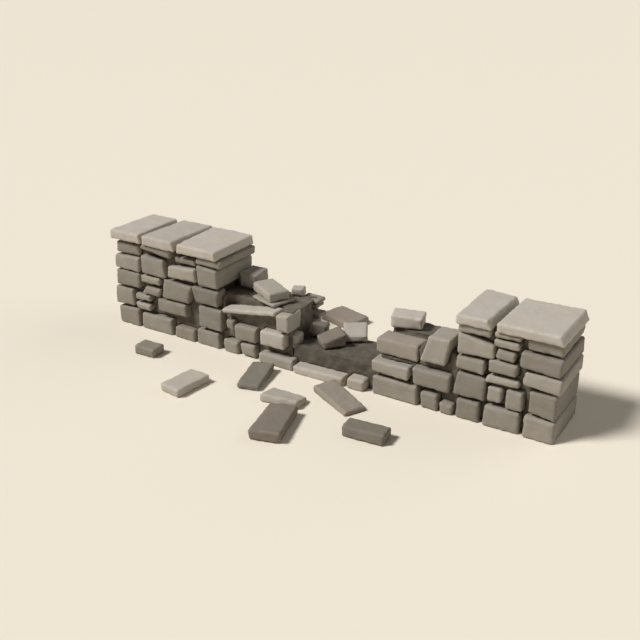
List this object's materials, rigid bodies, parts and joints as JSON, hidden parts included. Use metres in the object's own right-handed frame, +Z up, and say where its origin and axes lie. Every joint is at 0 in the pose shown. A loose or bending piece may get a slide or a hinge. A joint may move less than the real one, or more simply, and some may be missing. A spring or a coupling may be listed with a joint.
{
  "type": "dry stone wall",
  "caption": "Ruined dry stone wall, two capped piers stepping down to a fallen middle with dark packing and tumbled stones.",
  "frame": {"origin": "middle of the wall's length and thickness, on the floor it stands on", "axes": "+X along the wall towards the shorter pier, +Z up, the front face looks to -Y"},
  "size_m": [4.9277, 2.7994, 1.071],
  "materials": {
    "heart": "dark packed rubble, shaded and dusty",
    "face_stone": "rough hewn, worn edges",
    "light_stone": "rough hewn, weathered pale",
    "dark_stone": "rough hewn, dark",
    "brown_stone": "rough hewn, brownish"
  },
  "bodies": {
    "root": {"heart_left_pier": "heart", "heart_left_step": "heart", "heart_gap": "heart", "heart_right_step": "heart", "heart_right_pier": "heart", "left_pier_base": "face_stone", "left_pier_second": "face_stone", "left_pier_third": "face_stone", "left_pier_fourth": "face_stone", "left_pier_top": "face_stone", "left_cap_outer": "light_stone", "left_cap_middle": "light_stone", "left_cap_inner": "light_stone", "left_step_base": "face_stone", "left_step_upper": "face_stone", "left_step_corner": "light_stone", "left_step_back_corner": "face_stone", "left_step_end": "light_stone", "left_long_slab": "light_stone", "left_remnant": "face_stone", "left_loose_slab": "face_stone", "left_loose_block": "light_stone", "left_small_block": "light_stone", "gap_base": "light_stone", "gap_brown_block": "brown_stone", "gap_light_block": "light_stone", "gap_round_stone": "dark_stone", "right_step_base": "face_stone", "right_step_upper": "face_stone", "right_step_wide": "brown_stone", "right_leaning_block": "light_stone", "right_loose_block": "light_stone", "right_pier_base": "face_stone", "right_pier_second": "face_stone", "right_pier_third": "face_stone", "right_pier_fourth": "face_stone", "right_pier_top": "face_stone", "right_cap_inner": "light_stone", "right_cap_outer": "light_stone", "fallen_stone_1": "face_stone", "fallen_stone_2": "light_stone", "fallen_stone_3": "dark_stone", "fallen_stone_4": "light_stone", "fallen_stone_5": "brown_stone", "fallen_stone_6": "brown_stone", "fallen_stone_7": "dark_stone", "fallen_stone_8": "brown_stone"}
  },
  "joints": []
}
